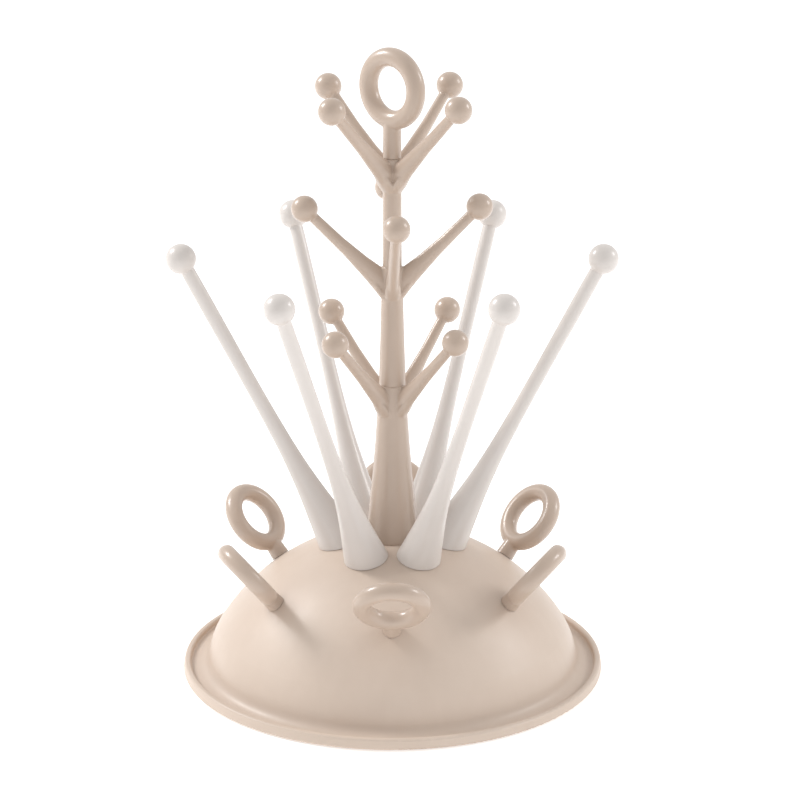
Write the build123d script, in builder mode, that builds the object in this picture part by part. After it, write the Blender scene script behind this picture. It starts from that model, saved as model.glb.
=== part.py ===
"""Bottle drying rack: a domed drip base with six long bottle arms, six ring hooks and a stacked tree.

Millimetres, +Z up, origin on the worktop under the middle of the base, -Y to the front.
Angles of position run anticlockwise from +X, seen from above.
"""
import os
from math import asin, atan2, cos, degrees, hypot, radians, sin, sqrt

from build123d import *

# ---- fits ----
plug_clearance = 0.08      # radial, every plug in its socket
seam_gap = 0.3             # between a curved foot and the dome under it
edge_break = 0.3           # small chamfer on seats and pads
overrun = 6.0              # how far cutters and hidden stock run past what they meet
plug_lead = 0.8            # chamfer on the end of every plug
plug_end_gap = 0.5         # under a plug whose shoulder does the seating

# ---- base ----
rim_radius = 120.6         # outermost edge, at the foot of the lip
lip_draft = 1.0            # how far the lip leans in by its top
lip_top = 6.7
lip_wall = 3.4
lip_round = 1.4
gutter_level = 3.4
gutter_blend = 7.0         # foot of the dome
gutter_corner = 0.9        # foot of the lip
underside = 0.6            # the base stands this far up on its pads
shell_wall = 2.6
dome_crown_radius = 118.0
dome_apex = 79.7           # where the crown would reach without its flat seat
dome_shoulder_radius = 45.0
dome_foot_radius = 106.5   # where the shoulder comes down to the gutter
seat_drop = 1.3            # from the apex down to the flat seat for the tree
socket_wall = 2.4
socket_floor = 2.0

# ---- foot pads ----
pad_count = 6
pad_radius = 5.0
pad_circle_radius = 111.5
pad_recess = 1.2
pad_clearance = 0.1

# ---- bottle arms ----
arm_angles = [-60, 0, 60, 120, 180, 240]
arm_foot_circle = 30.2     # radius at which the arms' axes pass through the dome
arm_tilt = 27.5            # from vertical
arm_length = 187.5         # foot centre to ball centre
arm_ball_radius = 8.5
arm_peg_radius = 6.0
arm_peg_length = 15.0
arm_profile = [(0.0, 12.4), (25.5, 8.5), (51.0, 5.7), (77.0, 4.5), (115.0, 4.05)]
arm_neck_radius = 3.85
arm_foot_skirt = 5.0       # stock below the foot centre, trimmed to the dome

# ---- ring hooks ----
hook_angles = [-90, -30, 30, 90, 150, 210]
hook_turns = [0.0, 6.0, 0.0, 0.0, 0.0, -6.0]   # how each hook stands turned in its round socket
hook_foot_circle = 75.5
hook_rise = 27.1           # dome to ring centre, square to the dome
hook_ring_radius = 16.4
hook_tube_radius = 5.0
hook_stem_foot_radius = 5.3
hook_stem_top_radius = 4.6
hook_blend = 2.0           # where the ring runs into its stem
hook_peg_radius = 3.8
hook_peg_length = 12.0

# ---- tree ----
tree_turn = 3.0            # the tree stands turned this much from the arms
tier_below_balls = 33.0    # from a tier's balls down to the seat in its fork
lower_ball_rise = 124.6    # from the tree's seat up to each tier's balls
middle_ball_rise = 192.8
upper_ball_rise = 254.0
lower_reach = 46.5
middle_reach = 48.2
upper_reach = 47.7
trunk_foot_radius = 15.0
trunk_flare = [(21.6, 13.0), (44.6, 10.7), (70.6, 8.8)]   # height above the seat, radius
lower_top_radius = 7.7
middle_foot_radius = 7.5
middle_top_radius = 5.6
upper_foot_radius = 5.35
upper_top_radius = 5.1
branch_root_drop = 43.0    # from the ball down to the middle of the branch's root
branch_ball_radius = 7.45
branch_core_radius = 1.0   # how near the trunk's axis a branch's hidden root begins
branch_sections = [(0.0, 9.2, 4.0), (0.2, 6.9, 3.6), (0.5, 4.9, 3.1), (0.9, 4.2, 2.95)]

# plug into the base, then one plug at each fork
trunk_plug_radius = 10.0
trunk_plug_length = 16.0
lower_plug_radius = 4.8
lower_plug_length = 14.0
middle_plug_radius = 3.5
middle_plug_length = 12.0
top_plug_radius = 3.1
top_plug_length = 10.0

# ---- top ring ----
top_ring_angle = -45.0     # direction of the ring's plane, seen from above
top_ring_rise = 38.3       # seat to ring centre
top_ring_radius = 17.2
top_ring_tube = 5.2
top_ring_stem_foot_radius = 5.05
top_ring_stem_top_radius = 4.85
top_ring_blend = 2.0

# ---- worked out from the above ----
crown_centre = dome_apex - dome_crown_radius
seat_level = dome_apex - seat_drop
seat_radius = sqrt(dome_crown_radius**2 - (seat_level - crown_centre) ** 2)
seat_angle = degrees(asin(seat_radius / dome_crown_radius))               # from vertical

# the shoulder arc touches the crown from inside and passes through the foot: triangle of
# crown centre, shoulder centre and foot
centres_apart = dome_crown_radius - dome_shoulder_radius
foot_rise = gutter_level - crown_centre
foot_apart = hypot(dome_foot_radius, foot_rise)
along = (centres_apart**2 - dome_shoulder_radius**2 + foot_apart**2) / (2 * foot_apart)
foot_bearing = degrees(atan2(dome_foot_radius, foot_rise))
shoulder_angle = foot_bearing - degrees(atan2(sqrt(centres_apart**2 - along**2), along))
shoulder_centre_r = centres_apart * sin(radians(shoulder_angle))
shoulder_centre_z = crown_centre + centres_apart * cos(radians(shoulder_angle))

lower_ball_level = seat_level + lower_ball_rise
middle_ball_level = seat_level + middle_ball_rise
upper_ball_level = seat_level + upper_ball_rise
lower_seat = lower_ball_level - tier_below_balls
middle_seat = middle_ball_level - tier_below_balls
upper_seat = upper_ball_level - tier_below_balls
hook_tilt = degrees(asin(hook_foot_circle / dome_crown_radius))           # square to the dome

os.makedirs("parts", exist_ok=True)


def dome_level(radius):
    """Height of the dome's crown at a distance from the middle."""
    return crown_centre + sqrt(dome_crown_radius**2 - radius**2)


def axis_plane(foot_circle, tilt):
    """Plane on the dome over +X, with its Z along a plug-in axis that leans outwards."""
    lean = (sin(radians(tilt)), 0, cos(radians(tilt)))
    return Plane(origin=(foot_circle, 0, dome_level(foot_circle)), x_dir=(0, 1, 0), z_dir=lean)


def turned(shape, angle):
    """A copy turned about the upright axis."""
    return shape.rotate(Axis.Z, angle)


def save(shape, node):
    """Write one node."""
    shape.label = node
    export_step(shape, f"parts/{node}.step")


def plug(radius, length, overlap):
    """A plug hanging below its origin, with a chamfered end, run up into the piece that it is part of."""
    with BuildPart() as pin:
        with Locations((0, 0, -length)):
            Cylinder(radius, length + overlap, align=(Align.CENTER, Align.CENTER, Align.MIN))
        chamfer(pin.edges().group_by(Axis.Z)[0], plug_lead)
    return pin.part


arm_plane = axis_plane(arm_foot_circle, arm_tilt)
hook_plane = axis_plane(hook_foot_circle, hook_tilt)
dome_centre = Vector(0, 0, crown_centre)


# ---- base: shell, gutter, lip and the sockets moulded under the dome ----
def foot_angle(radius, level):
    """Angle, from the horizontal, at which the shoulder arc of a radius meets a level."""
    return degrees(asin((level - shoulder_centre_z) / radius))


with BuildPart() as base_blank:
    with BuildSketch(Plane.XZ) as outer_section:
        with BuildLine():
            Line((0, seat_level), (seat_radius, seat_level))
            CenterArc((0, crown_centre), dome_crown_radius, 90 - seat_angle, seat_angle - shoulder_angle)
            gutter_foot = foot_angle(dome_shoulder_radius, gutter_level)
            shoulder = CenterArc(
                (shoulder_centre_r, shoulder_centre_z),
                dome_shoulder_radius,
                90 - shoulder_angle,
                gutter_foot - (90 - shoulder_angle),
            )
            lip_inner_top = rim_radius - lip_draft - lip_wall
            Polyline(
                shoulder @ 1,
                (lip_inner_top, gutter_level),
                (lip_inner_top, lip_top),
                (rim_radius - lip_draft, lip_top),
                (rim_radius, underside),
                (0, underside),
                (0, seat_level),
            )
        make_face()
        for corner, radius in (
            (shoulder @ 1, gutter_blend),
            ((lip_inner_top, gutter_level), gutter_corner),
            ((lip_inner_top, lip_top), lip_round),
            ((rim_radius - lip_draft, lip_top), lip_round),
            ((rim_radius, underside), lip_round),
        ):
            fillet(outer_section.vertices().sort_by_distance(corner)[0], radius)
    revolve(axis=Axis.Z)

arm_socket_radius = arm_peg_radius + plug_clearance
hook_socket_radius = hook_peg_radius + plug_clearance
trunk_socket_radius = trunk_plug_radius + plug_clearance


def socket_boss(plane, radius, depth, angle):
    """The solid that a moulded socket takes up under the dome."""
    with BuildPart(plane) as boss:
        Cylinder(radius + socket_wall, depth + socket_floor, align=(Align.CENTER, Align.CENTER, Align.MAX))
        Cylinder(radius + socket_wall, overrun, align=(Align.CENTER, Align.CENTER, Align.MIN))
    return turned(boss.part, angle)


def socket_hole(plane, radius, depth, angle):
    """The bore of a socket, open well above the dome."""
    with BuildPart(plane) as hole:
        Cylinder(radius, depth, align=(Align.CENTER, Align.CENTER, Align.MAX))
        Cylinder(radius, overrun, align=(Align.CENTER, Align.CENTER, Align.MIN))
    return turned(hole.part, angle)


inner_crown = dome_crown_radius - shell_wall
inner_shoulder = dome_shoulder_radius - shell_wall
ceiling = seat_level - shell_wall
ceiling_radius = sqrt(inner_crown**2 - (ceiling - crown_centre) ** 2)
ceiling_angle = degrees(asin(ceiling_radius / inner_crown))

with BuildPart() as hollow:
    with BuildSketch(Plane.XZ):
        with BuildLine():
            Line((0, ceiling), (ceiling_radius, ceiling))
            CenterArc((0, crown_centre), inner_crown, 90 - ceiling_angle, ceiling_angle - shoulder_angle)
            inner_foot = foot_angle(inner_shoulder, underside)
            inner_arc = CenterArc(
                (shoulder_centre_r, shoulder_centre_z),
                inner_shoulder,
                90 - shoulder_angle,
                inner_foot - (90 - shoulder_angle),
            )
            Polyline(inner_arc @ 1, (0, underside), (0, ceiling))
        make_face()
    revolve(axis=Axis.Z)
    with Locations((0, 0, seat_level)):
        Cylinder(
            trunk_socket_radius + socket_wall,
            trunk_plug_length + socket_floor,
            align=(Align.CENTER, Align.CENTER, Align.MAX),
            mode=Mode.SUBTRACT,
        )
    for angle in arm_angles:
        add(socket_boss(arm_plane, arm_socket_radius, arm_peg_length, angle), mode=Mode.SUBTRACT)
    for angle in hook_angles:
        add(socket_boss(hook_plane, hook_socket_radius, hook_peg_length, angle), mode=Mode.SUBTRACT)

with BuildPart() as base:
    add(base_blank.part)
    add(hollow.part, mode=Mode.SUBTRACT)
    with Locations((0, 0, seat_level)):
        Cylinder(
            trunk_socket_radius,
            trunk_plug_length,
            align=(Align.CENTER, Align.CENTER, Align.MAX),
            mode=Mode.SUBTRACT,
        )
    for angle in arm_angles:
        add(socket_hole(arm_plane, arm_socket_radius, arm_peg_length, angle), mode=Mode.SUBTRACT)
    for angle in hook_angles:
        add(socket_hole(hook_plane, hook_socket_radius, hook_peg_length, angle), mode=Mode.SUBTRACT)
    with Locations((0, 0, underside)):
        with PolarLocations(pad_circle_radius, pad_count):
            Cylinder(
                pad_radius + pad_clearance,
                pad_recess,
                align=(Align.CENTER, Align.CENTER, Align.MIN),
                mode=Mode.SUBTRACT,
            )
save(base.part, "base")


# ---- foot pads: rubber discs let into the underside ----
with BuildPart() as foot_pad:
    with Locations((pad_circle_radius, 0, 0)):
        Cylinder(pad_radius, underside + pad_recess, align=(Align.CENTER, Align.CENTER, Align.MIN))
    chamfer(foot_pad.edges().group_by(Axis.Z)[0], edge_break)

for number in range(pad_count):
    save(turned(foot_pad.part, 360 / pad_count * number), f"foot_pad_{number + 1}")


# ---- bottle arms: trumpet foot cut to the dome, slender shaft and ball ----
arm_peg = plug(arm_peg_radius, arm_peg_length, overrun)

with BuildPart(arm_plane) as bottle_arm:
    with BuildSketch(Plane(arm_plane.origin, x_dir=(0, 1, 0), z_dir=-arm_plane.y_dir)) as arm_section:
        with BuildLine():
            stations = [(radius, along) for along, radius in arm_profile]
            flare = Spline(stations + [(arm_neck_radius, arm_length)])
            skirt_slope = (arm_profile[0][1] - arm_profile[1][1]) / arm_profile[1][0]
            skirt_radius = arm_profile[0][1] + skirt_slope * arm_foot_skirt
            Polyline(
                flare @ 1,
                (0, arm_length),
                (0, -arm_foot_skirt),
                (skirt_radius, -arm_foot_skirt),
                flare @ 0,
            )
        make_face()
    revolve(axis=Axis(arm_plane.origin, arm_plane.z_dir))
    with Locations(arm_plane.to_local_coords(dome_centre)):
        Sphere(dome_crown_radius + seam_gap, mode=Mode.SUBTRACT)
    with Locations((0, 0, arm_length)):
        Sphere(arm_ball_radius)
    add(arm_peg)

for number, angle in enumerate(arm_angles, 1):
    save(turned(bottle_arm.part, angle), f"bottle_arm_{number}")


# ---- ring hooks: a ring on a short stem square to the dome ----
hook_peg = plug(hook_peg_radius, hook_peg_length, hook_tube_radius)

with BuildPart(hook_plane) as ring_hook:
    Cone(
        hook_stem_foot_radius,
        hook_stem_top_radius,
        hook_rise - hook_ring_radius,
        align=(Align.CENTER, Align.CENTER, Align.MIN),
    )
    with Locations(hook_plane.to_local_coords(dome_centre)):
        Sphere(dome_crown_radius + seam_gap, mode=Mode.SUBTRACT)
    with Locations(Location((0, 0, hook_rise), (90, 0, 0))):
        Torus(hook_ring_radius, hook_tube_radius)
    fillet(ring_hook.edges().filter_by(GeomType.BSPLINE), hook_blend)
    add(hook_peg)

hook_axis = Axis(hook_plane.origin, hook_plane.z_dir)
for number, (angle, turn) in enumerate(zip(hook_angles, hook_turns), 1):
    save(turned(ring_hook.part.rotate(hook_axis, turn), angle), f"ring_hook_{number}")


# ---- tree: three stacked trunk pieces, each with a fork of four ball-ended branches ----
def branch(ball_level, reach, trunk_radius, angle):
    """One branch, from inside the trunk out to its ball."""
    run = reach - trunk_radius
    root_share = (branch_core_radius - trunk_radius) / run
    stations = [(root_share, branch_sections[0][1], branch_sections[0][2])] + branch_sections
    with BuildPart() as rod:
        for share, half_height, half_width in stations:
            section_place = Plane(
                origin=(trunk_radius + share * run, 0, ball_level - (1 - share) * branch_root_drop),
                x_dir=(0, 1, 0),
                z_dir=(1, 0, 0),
            )
            with BuildSketch(section_place):
                Ellipse(half_width, half_height)
        loft()
        with Locations((reach, 0, ball_level)):
            Sphere(branch_ball_radius)
    return turned(rod.part, angle)


def trunk_section(foot_radius, foot_level, stations, top_radius, top_level):
    """Outline of a trunk piece: flat foot, tapering side, flat seat, both rims broken.

    Stations are heights above the foot, with the radius there.
    """
    side_foot = (foot_radius, foot_level + edge_break)
    side_top = (top_radius, top_level - edge_break)
    with BuildSketch(Plane.XZ) as section:
        with BuildLine():
            if stations:
                waist = [(radius, foot_level + rise) for rise, radius in stations]
                Spline([side_foot] + waist + [side_top])
            else:
                Line(side_foot, side_top)
            Polyline(
                side_top,
                (top_radius - edge_break, top_level),
                (0, top_level),
                (0, foot_level),
                (foot_radius - edge_break, foot_level),
                side_foot,
            )
        make_face()
    return section.sketch


diagonal_angles = [45, 135, 225, 315]
square_angles = [0, 90, 180, 270]
trunk_plug = plug(trunk_plug_radius, trunk_plug_length - plug_end_gap, plug_lead)
lower_plug = plug(lower_plug_radius, lower_plug_length - plug_end_gap, plug_lead)
middle_plug = plug(middle_plug_radius, middle_plug_length - plug_end_gap, plug_lead)
top_plug = plug(top_plug_radius, top_plug_length - plug_end_gap, plug_lead)

with BuildPart() as trunk_lower:
    add(trunk_section(trunk_foot_radius, seat_level, trunk_flare, lower_top_radius, lower_seat))
    revolve(axis=Axis.Z)
    for angle in diagonal_angles:
        add(branch(lower_ball_level, lower_reach, lower_top_radius, angle))
    with Locations((0, 0, seat_level)):
        add(trunk_plug)
    with Locations((0, 0, lower_seat)):
        Cylinder(
            lower_plug_radius + plug_clearance,
            lower_plug_length,
            align=(Align.CENTER, Align.CENTER, Align.MAX),
            mode=Mode.SUBTRACT,
        )
save(turned(trunk_lower.part, tree_turn), "trunk_lower")

with BuildPart() as trunk_middle:
    add(trunk_section(middle_foot_radius, lower_seat, [], middle_top_radius, middle_seat))
    revolve(axis=Axis.Z)
    for angle in square_angles:
        add(branch(middle_ball_level, middle_reach, middle_top_radius, angle))
    with Locations((0, 0, lower_seat)):
        add(lower_plug)
    with Locations((0, 0, middle_seat)):
        Cylinder(
            middle_plug_radius + plug_clearance,
            middle_plug_length,
            align=(Align.CENTER, Align.CENTER, Align.MAX),
            mode=Mode.SUBTRACT,
        )
save(turned(trunk_middle.part, tree_turn), "trunk_middle")

with BuildPart() as trunk_upper:
    add(trunk_section(upper_foot_radius, middle_seat, [], upper_top_radius, upper_seat))
    revolve(axis=Axis.Z)
    for angle in diagonal_angles:
        add(branch(upper_ball_level, upper_reach, upper_top_radius, angle))
    with Locations((0, 0, middle_seat)):
        add(middle_plug)
    with Locations((0, 0, upper_seat)):
        Cylinder(
            top_plug_radius + plug_clearance,
            top_plug_length,
            align=(Align.CENTER, Align.CENTER, Align.MAX),
            mode=Mode.SUBTRACT,
        )
save(turned(trunk_upper.part, tree_turn), "trunk_upper")


# ---- top ring: the carrying ring on its own stem ----
with BuildPart(Plane.XY.offset(upper_seat)) as top_ring:
    Cone(
        top_ring_stem_foot_radius,
        top_ring_stem_top_radius,
        top_ring_rise - top_ring_radius,
        align=(Align.CENTER, Align.CENTER, Align.MIN),
    )
    with Locations(Location((0, 0, top_ring_rise), (90, 0, 0))):
        Torus(top_ring_radius, top_ring_tube)
    fillet(top_ring.edges().filter_by(GeomType.BSPLINE), top_ring_blend)
    chamfer(top_ring.edges().group_by(Axis.Z)[0], edge_break)
    add(top_plug)
save(turned(top_ring.part, top_ring_angle + tree_turn), "top_ring")
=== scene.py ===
"""Looks of the bottle drying rack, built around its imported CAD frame. Metres throughout."""

import math

import bpy
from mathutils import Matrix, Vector


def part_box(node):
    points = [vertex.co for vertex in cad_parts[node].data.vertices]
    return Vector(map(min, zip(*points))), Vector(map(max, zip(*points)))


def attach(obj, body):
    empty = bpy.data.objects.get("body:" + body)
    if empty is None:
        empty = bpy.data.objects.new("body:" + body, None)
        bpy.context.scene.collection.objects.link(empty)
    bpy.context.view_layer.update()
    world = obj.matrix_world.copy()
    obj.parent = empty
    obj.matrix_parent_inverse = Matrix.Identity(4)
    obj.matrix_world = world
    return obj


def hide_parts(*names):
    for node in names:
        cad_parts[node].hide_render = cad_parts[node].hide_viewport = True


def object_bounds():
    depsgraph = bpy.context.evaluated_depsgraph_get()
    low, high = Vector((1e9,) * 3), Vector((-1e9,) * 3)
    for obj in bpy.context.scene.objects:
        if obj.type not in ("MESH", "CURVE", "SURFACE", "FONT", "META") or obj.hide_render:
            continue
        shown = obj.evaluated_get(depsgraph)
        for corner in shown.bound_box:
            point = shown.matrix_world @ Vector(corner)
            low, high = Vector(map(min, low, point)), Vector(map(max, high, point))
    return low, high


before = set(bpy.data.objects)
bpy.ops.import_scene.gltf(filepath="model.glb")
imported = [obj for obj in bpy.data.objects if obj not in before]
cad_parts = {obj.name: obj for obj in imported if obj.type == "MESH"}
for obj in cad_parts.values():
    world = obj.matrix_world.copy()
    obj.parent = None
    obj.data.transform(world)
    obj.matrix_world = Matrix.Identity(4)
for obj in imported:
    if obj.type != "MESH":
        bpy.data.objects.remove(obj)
cad_low, cad_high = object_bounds()

# Finishes: each plastic's two pigment shades
BEIGE_LIGHT = (0.655, 0.540, 0.452, 1.0)
BEIGE_DEEP = (0.628, 0.512, 0.425, 1.0)
TREE_LIGHT = (0.527, 0.418, 0.340, 1.0)
TREE_DEEP = (0.500, 0.393, 0.316, 1.0)
WHITE_LIGHT = (0.685, 0.638, 0.605, 1.0)
WHITE_DEEP = (0.665, 0.616, 0.580, 1.0)
RUBBER_LIGHT = (0.42, 0.39, 0.36, 1.0)
RUBBER_DEEP = (0.36, 0.33, 0.30, 1.0)
PLASTIC_IOR = 1.5
COAT_ROUGHNESS = 0.14

# Patterns in the plastic: features per metre, then octaves of detail
CLOUD = (22.0, 3.0)
FLOW = (150.0, 2.0)
HANDLING = (70.0, 5.0)
HAIRS = (900.0, 1.0)
PEEL = (420.0, 1.0)
GRAIN = (2600.0, 2.0)
# How a pattern's values are spread: from this low and high, to this low and high
CLOUD_SPREAD = (0.35, 0.65, 0.0, 0.7)
FLOW_SPREAD = (0.4, 0.7, 0.0, 0.3)
HAIR_SPREAD = (0.62, 0.72, 0.0, 0.05)
HANDLING_LOW = 0.3
HANDLING_HIGH = 0.7
SMOOTHER_BY = 0.03
ROUGHER_BY = 0.04
FLOW_STRETCH = (1.0, 1.0, 0.16)
HAIR_STRETCH = (1.0, 0.08, 0.3)
PEEL_STRENGTH = 0.25
PEEL_DEPTH = 0.00003
GRAIN_DEPTH = 0.00002

# Tree, shared by its three storeys
BALL_RADIUS = 0.00745
ROOT_DROP = 0.043             # from a ball down to the middle of its branch's root
TREE_TURN = 3.0               # the tree stands turned this much, in degrees
SEAT_BELOW_BALLS = 0.033
SEAT_SINK = 0.00025           # a storey's foot beds this far into the seat below, which closes the seam
SEAT_BREAK = 0.0003           # chamfer on a seat's rim
PLUG_LEAD = 0.0008            # chamfer on the end of a plug
LOWER_PLUG = 0.0155
MIDDLE_PLUG = 0.0135
UPPER_PLUG = 0.0115
LOWER_FLARE = [               # height above the tree's foot, radius
    (0.0108, 0.01395),
    (0.0216, 0.0130),
    (0.0331, 0.01178),
    (0.0446, 0.0107),
    (0.0576, 0.00965),
    (0.0706, 0.0088),
]
BRANCH_SECTIONS = [           # share of the way out, half height, half width
    (0.0, 0.0092, 0.0040),
    (0.2, 0.0069, 0.0036),
    (0.5, 0.0049, 0.0031),
    (0.9, 0.0042, 0.00295),
]
TONGUE_OUT = 0.0012           # from the trunk's side out to the tongue's middle
TONGUE_DROP = 0.0462          # from the ball down to the tongue's middle
TONGUE_LEAN = 33.0            # from upright, in degrees
TONGUE_HALVES = (0.0027, 0.0044, 0.0100)
COLUMN_SIDES = 64
ROD_SIDES = 32
BALL_SIDES = 48
BALL_RINGS = 32
TONGUE_SIDES = 40
TONGUE_RINGS = 28
BORE_SIDES = 48
MOULD_VOXEL = 0.0005          # grid on which column and branches grow together
SOFTEN_STRENGTH = 0.5
SOFTEN_ROUNDS = 4
SMOOTH_UNDER = 40.0           # edges sharper than this stay crisp, in degrees

# Studio
CAMERA_PLACE = (0.0043, -1.5255, 0.6521)
CAMERA_TILT = 72.13
CAMERA_LENS = 128.5
SENSOR_WIDTH = 36.0
CLIP_END = 80.0
ROOM_FRONT = 0.66
ROOM_BACK = 0.82
ROOM_FRONT_EDGE = -0.9        # directions, on the Y axis, between which the room's brightness changes
ROOM_BACK_EDGE = 0.5
FLOOR_RADIUS = 30.0
FLOOR_SIDES = 96
FLOOR_GREY = 0.93
FLOOR_GLOW = 0.40
LIGHT_AWAY = 1.7
LIGHT_SIZE = 0.5
KEY_TOWARDS = (-0.745, 0.281, 0.605)
KEY_POWER = 17.0
FILL_TOWARDS = (0.86, 0.1, 0.45)
FILL_POWER = 7.5
WHITE = (1.0, 1.0, 1.0, 1.0)


def material_with_shader(name):
    """An empty node material with one Principled shader on its output."""
    material = bpy.data.materials.new(name)
    material.use_nodes = True
    nodes = material.node_tree.nodes
    nodes.clear()
    output = nodes.new("ShaderNodeOutputMaterial")
    shader = nodes.new("ShaderNodeBsdfPrincipled")
    material.node_tree.links.new(shader.outputs["BSDF"], output.inputs["Surface"])
    return material, shader


def noise(material, place, scale, detail):
    """A noise pattern on the given coordinates."""
    node = material.node_tree.nodes.new("ShaderNodeTexNoise")
    node.inputs["Scale"].default_value = scale
    node.inputs["Detail"].default_value = detail
    material.node_tree.links.new(place, node.inputs["Vector"])
    return node.outputs["Fac"]


def spread(material, value, low, high, to_low, to_high):
    """Maps one range of a value to another, clamped."""
    node = material.node_tree.nodes.new("ShaderNodeMapRange")
    node.inputs["From Min"].default_value = low
    node.inputs["From Max"].default_value = high
    node.inputs["To Min"].default_value = to_low
    node.inputs["To Max"].default_value = to_high
    material.node_tree.links.new(value, node.inputs["Value"])
    return node.outputs["Result"]


def blend_colours(material, factor, first, second):
    """A mix of two colours by a factor."""
    node = material.node_tree.nodes.new("ShaderNodeMix")
    node.data_type = "RGBA"
    node.inputs["A"].default_value = first
    node.inputs["B"].default_value = second
    material.node_tree.links.new(factor, node.inputs["Factor"])
    return node.outputs["Result"]


def bump(material, height, strength, distance, under=None):
    """A bump from a height, laid over another bump where one is given."""
    node = material.node_tree.nodes.new("ShaderNodeBump")
    node.inputs["Strength"].default_value = strength
    node.inputs["Distance"].default_value = distance
    material.node_tree.links.new(height, node.inputs["Height"])
    if under is not None:
        material.node_tree.links.new(under, node.inputs["Normal"])
    return node.outputs["Normal"]


def stretched(material, place, scale):
    """The coordinates drawn out along one axis or more."""
    node = material.node_tree.nodes.new("ShaderNodeMapping")
    node.inputs["Scale"].default_value = scale
    material.node_tree.links.new(place, node.inputs["Vector"])
    return node.outputs["Vector"]


def add_up(material, first, second):
    """The sum of two values."""
    node = material.node_tree.nodes.new("ShaderNodeMath")
    node.operation = "ADD"
    material.node_tree.links.new(first, node.inputs[0])
    material.node_tree.links.new(second, node.inputs[1])
    return node.outputs["Value"]


def moulded_plastic(name, light, deep, roughness, grain, coat):
    """Injection-moulded plastic: cloudy pigment, flow streaks, fine tool grain and faint rub marks."""
    material, shader = material_with_shader(name)
    links = material.node_tree.links
    place = material.node_tree.nodes.new("ShaderNodeTexCoord").outputs["Object"]
    cloud = spread(material, noise(material, place, *CLOUD), *CLOUD_SPREAD)
    flow = noise(material, stretched(material, place, FLOW_STRETCH), *FLOW)
    streaks = spread(material, flow, *FLOW_SPREAD)
    tint = add_up(material, cloud, streaks)
    links.new(blend_colours(material, tint, deep, light), shader.inputs["Base Color"])
    touched = noise(material, place, *HANDLING)
    least = roughness - SMOOTHER_BY
    most = roughness + ROUGHER_BY
    handling = spread(material, touched, HANDLING_LOW, HANDLING_HIGH, least, most)
    hairs = noise(material, stretched(material, place, HAIR_STRETCH), *HAIRS)
    rubs = spread(material, hairs, *HAIR_SPREAD)
    links.new(add_up(material, handling, rubs), shader.inputs["Roughness"])
    orange_peel = bump(material, noise(material, place, *PEEL), PEEL_STRENGTH, PEEL_DEPTH)
    fine = bump(material, noise(material, place, *GRAIN), grain, GRAIN_DEPTH, orange_peel)
    links.new(fine, shader.inputs["Normal"])
    shader.inputs["IOR"].default_value = PLASTIC_IOR
    shader.inputs["Coat Weight"].default_value = coat
    shader.inputs["Coat Roughness"].default_value = COAT_ROUGHNESS
    return material


base_satin = moulded_plastic(
    "base_satin", BEIGE_LIGHT, BEIGE_DEEP, roughness=0.42, grain=0.6, coat=0.0
)
tree_gloss = moulded_plastic(
    "tree_gloss", TREE_LIGHT, TREE_DEEP, roughness=0.34, grain=0.3, coat=0.35
)
arm_white = moulded_plastic(
    "arm_white", WHITE_LIGHT, WHITE_DEEP, roughness=0.34, grain=0.3, coat=0.3
)
pad_rubber = moulded_plastic(
    "pad_rubber", RUBBER_LIGHT, RUBBER_DEEP, roughness=0.75, grain=0.9, coat=0.0
)
finishes = {
    "base_satin": base_satin,
    "tree_gloss": tree_gloss,
    "arm_white": arm_white,
    "pad_rubber": pad_rubber,
}


def finish_of(node):
    """The finish that a CAD node is moulded in."""
    if node.startswith("foot_pad"):
        return "pad_rubber"
    if node.startswith("bottle_arm"):
        return "arm_white"
    return "base_satin" if node == "base" else "tree_gloss"


for name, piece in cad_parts.items():
    piece.data.materials.clear()
    piece.data.materials.append(finishes[finish_of(name)])


def only(piece):
    """Selects one object, alone."""
    bpy.ops.object.select_all(action="DESELECT")
    piece.select_set(True)
    bpy.context.view_layer.objects.active = piece


def settle(piece):
    """Moves a piece's place, turn and scale into its mesh."""
    only(piece)
    bpy.ops.object.transform_apply(location=True, rotation=True, scale=True)


def turn_round(piece, degrees):
    """Turns a piece about the upright axis through the origin."""
    piece.rotation_euler = (0, 0, math.radians(degrees))
    settle(piece)


def copy_turned(piece, degrees):
    """A copy of a piece with its own mesh, turned about the upright axis."""
    only(piece)
    bpy.ops.object.duplicate()
    twin = bpy.context.active_object
    turn_round(twin, degrees)
    return twin


def join_into(first, others):
    """Makes several objects into one mesh."""
    only(first)
    for other in others:
        other.select_set(True)
    bpy.ops.object.join()


def apply_modifier(piece, name, kind, **settings):
    """Adds one modifier to a piece with its settings, and applies it."""
    only(piece)
    modifier = piece.modifiers.new(name, kind)
    for key, value in settings.items():
        setattr(modifier, key, value)
    bpy.ops.object.modifier_apply(modifier=name)


def start_drawing():
    """Opens the newest piece's mesh with everything selected, ready to be drawn out."""
    bpy.ops.object.mode_set(mode="EDIT")
    bpy.ops.mesh.select_all(action="SELECT")


def finish_drawing():
    """Turns all faces outwards and closes the mesh again."""
    bpy.ops.mesh.select_all(action="SELECT")
    bpy.ops.mesh.normals_make_consistent(inside=False)
    bpy.ops.object.mode_set(mode="OBJECT")


def turned_column(name, stations):
    """A closed round column on the upright axis, drawn up ring by ring.

    Each station is a height and the radius there.
    """
    height, radius = stations[0]
    bpy.ops.object.select_all(action="DESELECT")
    bpy.ops.mesh.primitive_circle_add(
        vertices=COLUMN_SIDES, radius=radius, fill_type="NGON", location=(0, 0, height)
    )
    column = bpy.context.active_object
    column.name = name
    settle(column)
    start_drawing()
    for next_height, next_radius in stations[1:]:
        rise = next_height - height
        bpy.ops.mesh.extrude_region_move(TRANSFORM_OT_translate={"value": (0, 0, rise)})
        ratio = next_radius / radius
        bpy.ops.transform.resize(value=(ratio, ratio, 1), center_override=(0, 0, next_height))
        height, radius = next_height, next_radius
    finish_drawing()
    return column


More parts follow.
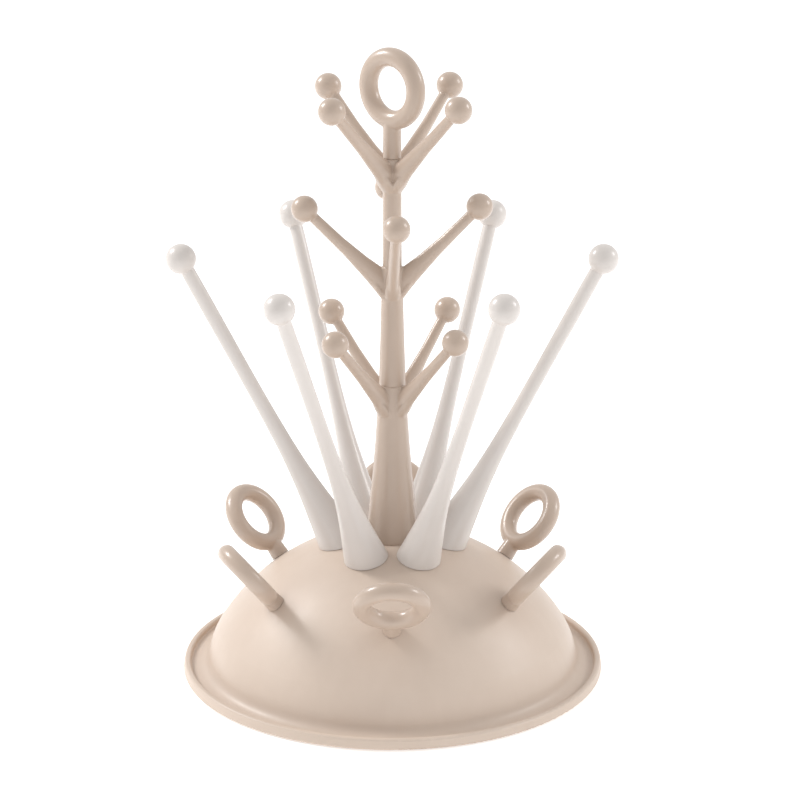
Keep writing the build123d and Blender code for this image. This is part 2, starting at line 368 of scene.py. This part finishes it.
def branch_rod(places, heights, widths):
    """The rod of a branch, drawn out through its places from a tall oval to a round end."""
    bpy.ops.object.select_all(action="DESELECT")
    bpy.ops.mesh.primitive_circle_add(
        vertices=ROD_SIDES,
        radius=1.0,
        fill_type="NGON",
        location=places[0],
        rotation=(0, math.radians(90), 0),
    )
    rod = bpy.context.active_object
    rod.scale = (heights[0], widths[0], 1)
    settle(rod)
    start_drawing()
    for step in range(1, len(places)):
        run = places[step] - places[step - 1]
        bpy.ops.mesh.extrude_region_move(TRANSFORM_OT_translate={"value": run})
        bpy.ops.transform.resize(
            value=(1, widths[step] / widths[step - 1], heights[step] / heights[step - 1]),
            center_override=places[step],
        )
    finish_drawing()
    return rod


def branch_ball(place):
    """The ball on a branch's end."""
    bpy.ops.object.select_all(action="DESELECT")
    bpy.ops.mesh.primitive_uv_sphere_add(
        segments=BALL_SIDES, ring_count=BALL_RINGS, radius=BALL_RADIUS, location=place
    )
    ball = bpy.context.active_object
    settle(ball)
    return ball


def branch_tongue(trunk_radius, ball_level, stouter):
    """The rounded tongue in which a branch's underside runs out on the trunk."""
    bpy.ops.object.select_all(action="DESELECT")
    bpy.ops.mesh.primitive_uv_sphere_add(
        segments=TONGUE_SIDES,
        ring_count=TONGUE_RINGS,
        radius=1.0,
        location=(trunk_radius + TONGUE_OUT, 0, ball_level - TONGUE_DROP),
        rotation=(0, math.radians(TONGUE_LEAN), 0),
    )
    tongue = bpy.context.active_object
    tongue.scale = (TONGUE_HALVES[0], TONGUE_HALVES[1] + stouter, TONGUE_HALVES[2])
    settle(tongue)
    return tongue


def branch(ball_level, reach, trunk_radius, root_radius, stouter):
    """One branch over +X: a tall root on the trunk that thins to a round rod, with a ball on its end.

    Its root and its tongue are made wider on each side by the extra half width in stouter.
    """
    run = reach - trunk_radius
    shares = [(root_radius - trunk_radius) / run] + [share for share, _, _ in BRANCH_SECTIONS] + [1.0]
    heights = [tall for _, tall, _ in BRANCH_SECTIONS]
    heights = [heights[0]] + heights + [heights[-1]]
    widths = [wide for _, _, wide in BRANCH_SECTIONS]
    widths = [widths[0]] + widths + [widths[-1]]
    widths[0] += stouter
    widths[1] += stouter
    widths[2] += stouter / 2
    places = []
    for share in shares:
        level = ball_level - (1 - share) * ROOT_DROP
        places.append(Vector((trunk_radius + share * run, 0, level)))
    rod = branch_rod(places, heights, widths)
    ball = branch_ball(places[-1])
    tongue = branch_tongue(trunk_radius, ball_level, stouter)
    join_into(rod, [ball, tongue])
    return rod


def drill_bore(piece, radius, depth, seat):
    """Drills the bore for the plug of the piece above, down from a seat."""
    bpy.ops.object.select_all(action="DESELECT")
    bpy.ops.mesh.primitive_cylinder_add(
        vertices=BORE_SIDES,
        radius=radius,
        depth=2 * depth,
        end_fill_type="NGON",
        location=(0, 0, seat),
    )
    drill = bpy.context.active_object
    settle(drill)
    apply_modifier(piece, "drill", "BOOLEAN", operation="DIFFERENCE", object=drill, solver="EXACT")
    bpy.data.objects.remove(drill)


def trunk_storey(body, column_stations, branch_sizes, first_angle, bore_sizes):
    """One storey of the tree: its column, four branches grown into it, and the bore for the piece above."""
    storey = turned_column(body + "_moulding", column_stations)
    first = branch(**branch_sizes)
    turn_round(first, first_angle)
    branches = [first] + [copy_turned(first, 90 * number) for number in (1, 2, 3)]
    join_into(storey, branches)
    apply_modifier(
        storey, "grow_together", "REMESH", mode="VOXEL", voxel_size=MOULD_VOXEL, use_smooth_shade=True
    )
    apply_modifier(storey, "soften", "SMOOTH", factor=SOFTEN_STRENGTH, iterations=SOFTEN_ROUNDS)
    drill_bore(storey, **bore_sizes)
    only(storey)
    bpy.ops.object.shade_smooth_by_angle(angle=math.radians(SMOOTH_UNDER))
    turn_round(storey, TREE_TURN)
    storey.data.materials.clear()
    storey.data.materials.append(finishes["tree_gloss"])
    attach(storey, body)
    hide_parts(body)


def balls_of(node):
    """The level of a storey's balls, which stand at the top of its box."""
    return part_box(node)[1].z - BALL_RADIUS


def tree():
    """The three storeys of the tree, each standing on the one below."""
    lower_balls = balls_of("trunk_lower")
    middle_balls = balls_of("trunk_middle")
    upper_balls = balls_of("trunk_upper")
    lower_seat = lower_balls - SEAT_BELOW_BALLS
    middle_seat = middle_balls - SEAT_BELOW_BALLS
    upper_seat = upper_balls - SEAT_BELOW_BALLS
    plug_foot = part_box("trunk_lower")[0].z
    tree_foot = plug_foot + LOWER_PLUG
    lower_column = [
        (plug_foot, 0.0092),
        (plug_foot + PLUG_LEAD, 0.0100),
        (tree_foot - SEAT_SINK, 0.0100),
        (tree_foot - SEAT_SINK, 0.0150),
        *[(tree_foot + rise, radius) for rise, radius in LOWER_FLARE],
        (lower_seat - SEAT_BREAK, 0.0077),
        (lower_seat, 0.0074),
    ]
    middle_column = [
        (lower_seat - MIDDLE_PLUG, 0.0040),
        (lower_seat - MIDDLE_PLUG + PLUG_LEAD, 0.0048),
        (lower_seat - SEAT_SINK, 0.0048),
        (lower_seat - SEAT_SINK, 0.0075),
        (middle_seat - SEAT_BREAK, 0.0056),
        (middle_seat, 0.0053),
    ]
    upper_column = [
        (middle_seat - UPPER_PLUG, 0.0027),
        (middle_seat - UPPER_PLUG + PLUG_LEAD, 0.0035),
        (middle_seat - SEAT_SINK, 0.0035),
        (middle_seat - SEAT_SINK, 0.00535),
        (upper_seat - SEAT_BREAK, 0.0051),
        (upper_seat, 0.0048),
    ]
    lower_branch = {
        "ball_level": lower_balls,
        "reach": 0.0465,
        "trunk_radius": 0.0077,
        "root_radius": 0.0053,
        "stouter": 0.0002,
    }
    middle_branch = {
        "ball_level": middle_balls,
        "reach": 0.0482,
        "trunk_radius": 0.0056,
        "root_radius": 0.0040,
        "stouter": 0.0,
    }
    upper_branch = {
        "ball_level": upper_balls,
        "reach": 0.0477,
        "trunk_radius": 0.0051,
        "root_radius": 0.0037,
        "stouter": 0.0009,
    }
    lower_bore = {"radius": 0.00488, "depth": 0.014, "seat": lower_seat}
    middle_bore = {"radius": 0.00358, "depth": 0.012, "seat": middle_seat}
    upper_bore = {"radius": 0.00318, "depth": 0.010, "seat": upper_seat}
    trunk_storey("trunk_lower", lower_column, lower_branch, 45, lower_bore)
    trunk_storey("trunk_middle", middle_column, middle_branch, 0, middle_bore)
    trunk_storey("trunk_upper", upper_column, upper_branch, 45, upper_bore)


tree()


def floor_sheet():
    """A large pale floor under the rack, with a faint glow like a light table."""
    bpy.ops.object.select_all(action="DESELECT")
    bpy.ops.mesh.primitive_circle_add(
        vertices=FLOOR_SIDES, radius=FLOOR_RADIUS, fill_type="NGON", location=(0, 0, cad_low.z)
    )
    floor = bpy.context.active_object
    floor.name = "floor"
    material, shader = material_with_shader("studio_floor")
    shader.inputs["Base Color"].default_value = (FLOOR_GREY, FLOOR_GREY, FLOOR_GREY, 1.0)
    shader.inputs["Roughness"].default_value = 0.9
    shader.inputs["Specular IOR Level"].default_value = 0.1
    shader.inputs["Emission Color"].default_value = WHITE
    shader.inputs["Emission Strength"].default_value = FLOOR_GLOW
    floor.data.materials.append(material)


def soft_box(name, direction, power):
    """A square area light at a distance from the middle of the rack, facing it."""
    middle = Vector((0, 0, (cad_low.z + cad_high.z) / 2))
    towards = Vector(direction).normalized()
    bpy.ops.object.light_add(type="AREA", location=middle + towards * LIGHT_AWAY)
    light = bpy.context.active_object
    light.name = name
    light.data.shape = "SQUARE"
    light.data.size = LIGHT_SIZE
    light.data.energy = power
    light.rotation_euler = towards.to_track_quat("Z", "Y").to_euler()


def surround():
    """A white room, a little brighter behind the rack than on the camera's side."""
    world = bpy.data.worlds.new("surround")
    bpy.context.scene.world = world
    world.use_nodes = True
    nodes = world.node_tree.nodes
    links = world.node_tree.links
    direction = nodes.new("ShaderNodeTexCoord").outputs["Generated"]
    axes = nodes.new("ShaderNodeSeparateXYZ")
    links.new(direction, axes.inputs["Vector"])
    brightness = nodes.new("ShaderNodeMapRange")
    brightness.inputs["From Min"].default_value = ROOM_FRONT_EDGE
    brightness.inputs["From Max"].default_value = ROOM_BACK_EDGE
    brightness.inputs["To Min"].default_value = ROOM_FRONT
    brightness.inputs["To Max"].default_value = ROOM_BACK
    links.new(axes.outputs["Y"], brightness.inputs["Value"])
    nodes["Background"].inputs["Color"].default_value = WHITE
    links.new(brightness.outputs["Result"], nodes["Background"].inputs["Strength"])


def camera():
    """The camera, level and looking down on the rack a little."""
    data = bpy.data.cameras.new("camera")
    data.lens = CAMERA_LENS
    data.sensor_width = SENSOR_WIDTH
    data.clip_end = CLIP_END
    eye = bpy.data.objects.new("camera", data)
    eye.location = CAMERA_PLACE
    eye.rotation_euler = (math.radians(CAMERA_TILT), 0, 0)
    bpy.context.scene.collection.objects.link(eye)
    bpy.context.scene.camera = eye
    bpy.context.scene.view_settings.view_transform = "Standard"


camera()
surround()
soft_box("key_left", KEY_TOWARDS, KEY_POWER)
soft_box("fill_right", FILL_TOWARDS, FILL_POWER)
floor_sheet()
